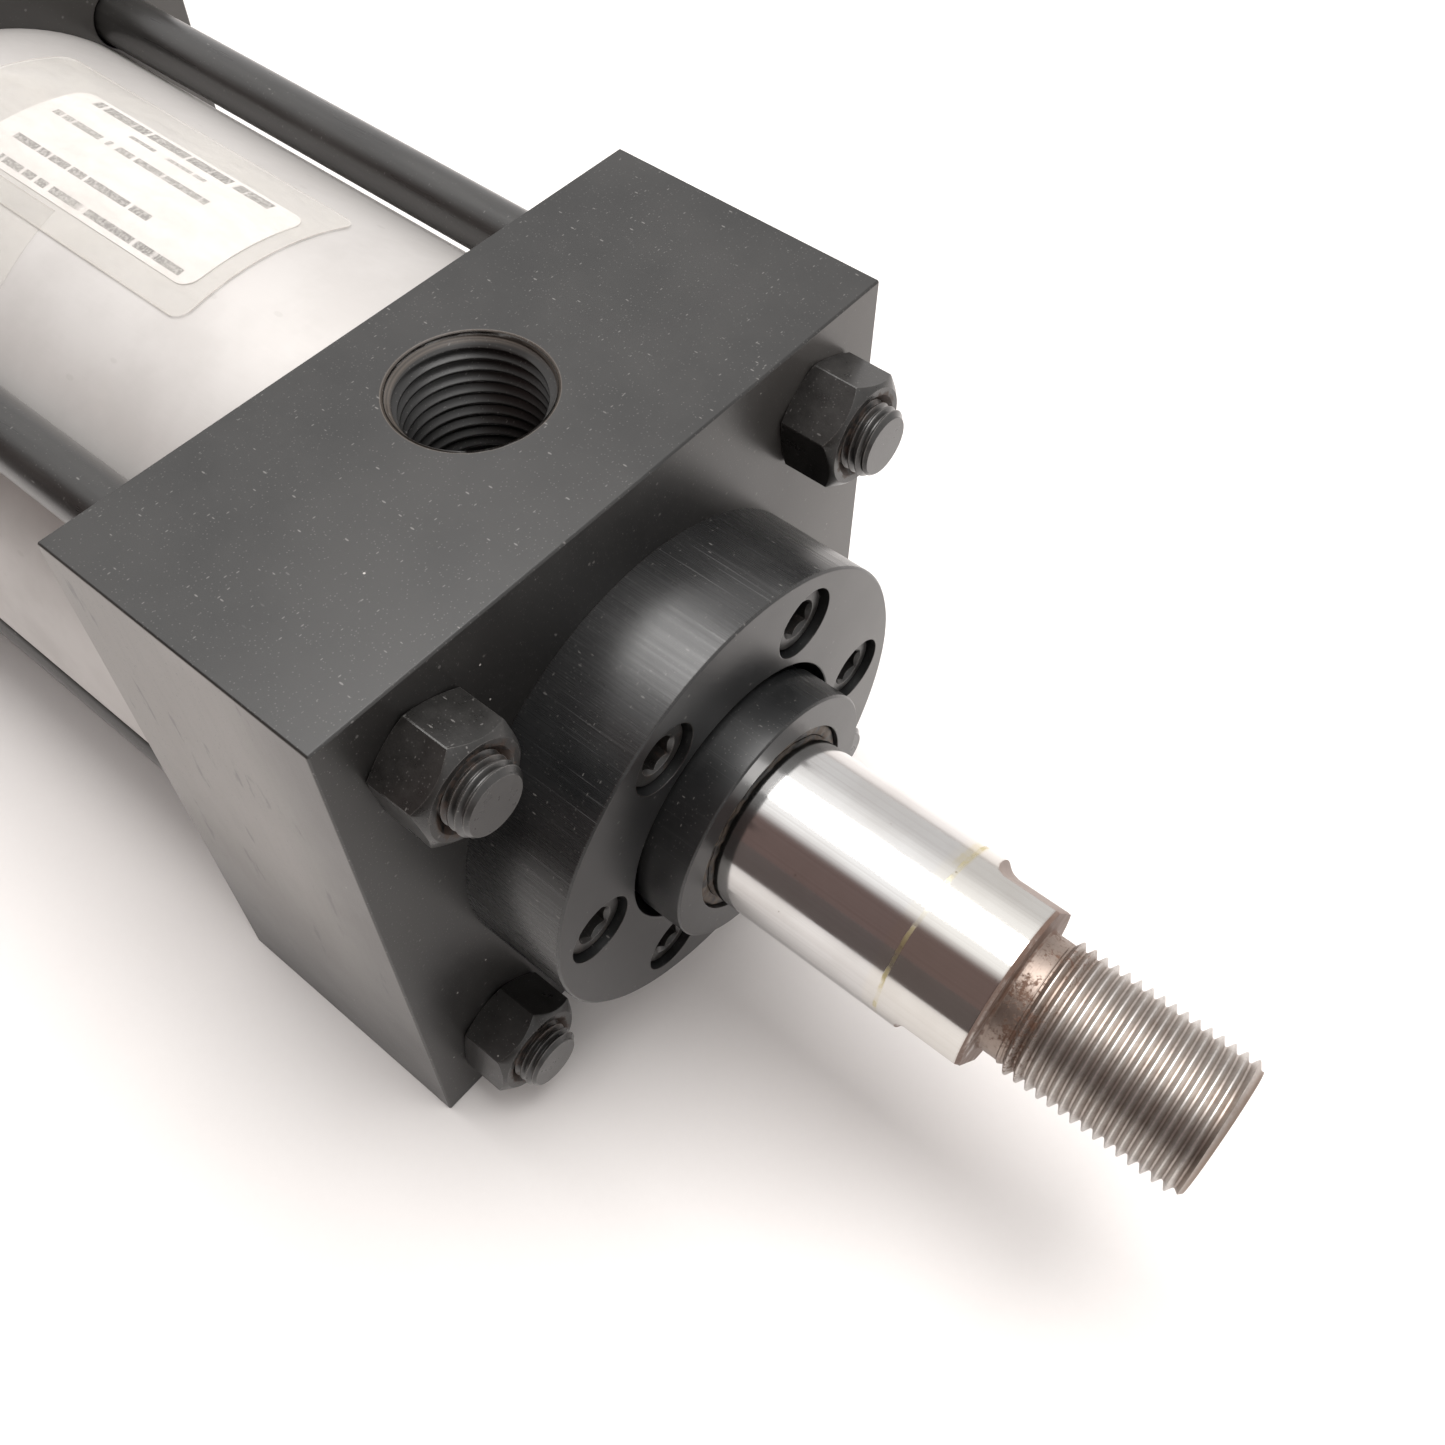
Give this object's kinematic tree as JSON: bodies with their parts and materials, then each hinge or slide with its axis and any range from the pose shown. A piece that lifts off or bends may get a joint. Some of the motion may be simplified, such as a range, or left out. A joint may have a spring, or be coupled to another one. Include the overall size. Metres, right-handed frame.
{
  "type": "pneumatic cylinder",
  "caption": "Square-head tie-rod pneumatic cylinder: black end blocks, bright tube, bolted round rod gland, chrome rod with wrench flats and a male threaded end.",
  "frame": {"origin": "on the rod axis, in the plane of the head's front face, at the centre of the front tie-rod pattern", "axes": "+X along the rod axis towards the rod end, +Z out of the ports, +Y to the left when looking from the cap towards the rod end"},
  "size_m": [0.2787, 0.0952, 0.0952],
  "materials": {
    "black_anodised": "matte black anodised, dusty",
    "tube_alloy": "satin clear anodised",
    "black_oxide": "black oxide, lightly oiled",
    "bearing_bronze": "turned",
    "seal_rubber": "matte",
    "wiper_rubber": "matte, grimy",
    "label_face": "printed label stock",
    "clear_tape": "clear packing tape",
    "wear_band_plastic": "filled plastic",
    "hard_chrome": "ground and polished",
    "piston_alloy": "turned",
    "plain_steel": "turned"
  },
  "bodies": {
    "barrel": {"head": "black_anodised", "cap": "black_anodised", "tube": "tube_alloy", "tie_rod_upper_left": "black_oxide", "tie_rod_upper_right": "black_oxide", "tie_rod_lower_left": "black_oxide", "tie_rod_lower_right": "black_oxide", "head_nuts": "black_oxide", "cap_nuts": "black_oxide", "gland_retainer": "black_oxide", "retainer_screws": "black_oxide", "gland_cartridge": "black_oxide", "gland_o_ring": "seal_rubber", "rod_bearing": "bearing_bronze", "rod_seal": "seal_rubber", "rod_wiper": "wiper_rubber", "head_tube_seal": "seal_rubber", "cap_tube_seal": "seal_rubber", "label": "label_face", "label_tape": "clear_tape"},
    "piston_seals": {"piston_seal_front": "seal_rubber", "piston_seal_back": "seal_rubber", "piston_wear_band": "wear_band_plastic"},
    "rod": {"piston_rod": "hard_chrome", "piston": "piston_alloy", "piston_bumper_front": "seal_rubber", "piston_bumper_back": "seal_rubber", "piston_nut": "plain_steel", "piston_o_ring": "seal_rubber"}
  },
  "joints": [
    {"name": "rod_slide", "type": "slide", "parent": "barrel", "child": "piston_seals", "axis": [1, 0, 0], "range_m": [-0.026, 0.04385]},
    {"name": "rod_turn", "type": "hinge", "parent": "piston_seals", "child": "rod", "pos_m": [0, 0, 0], "axis": [1, 0, 0], "continuous": true}
  ]
}
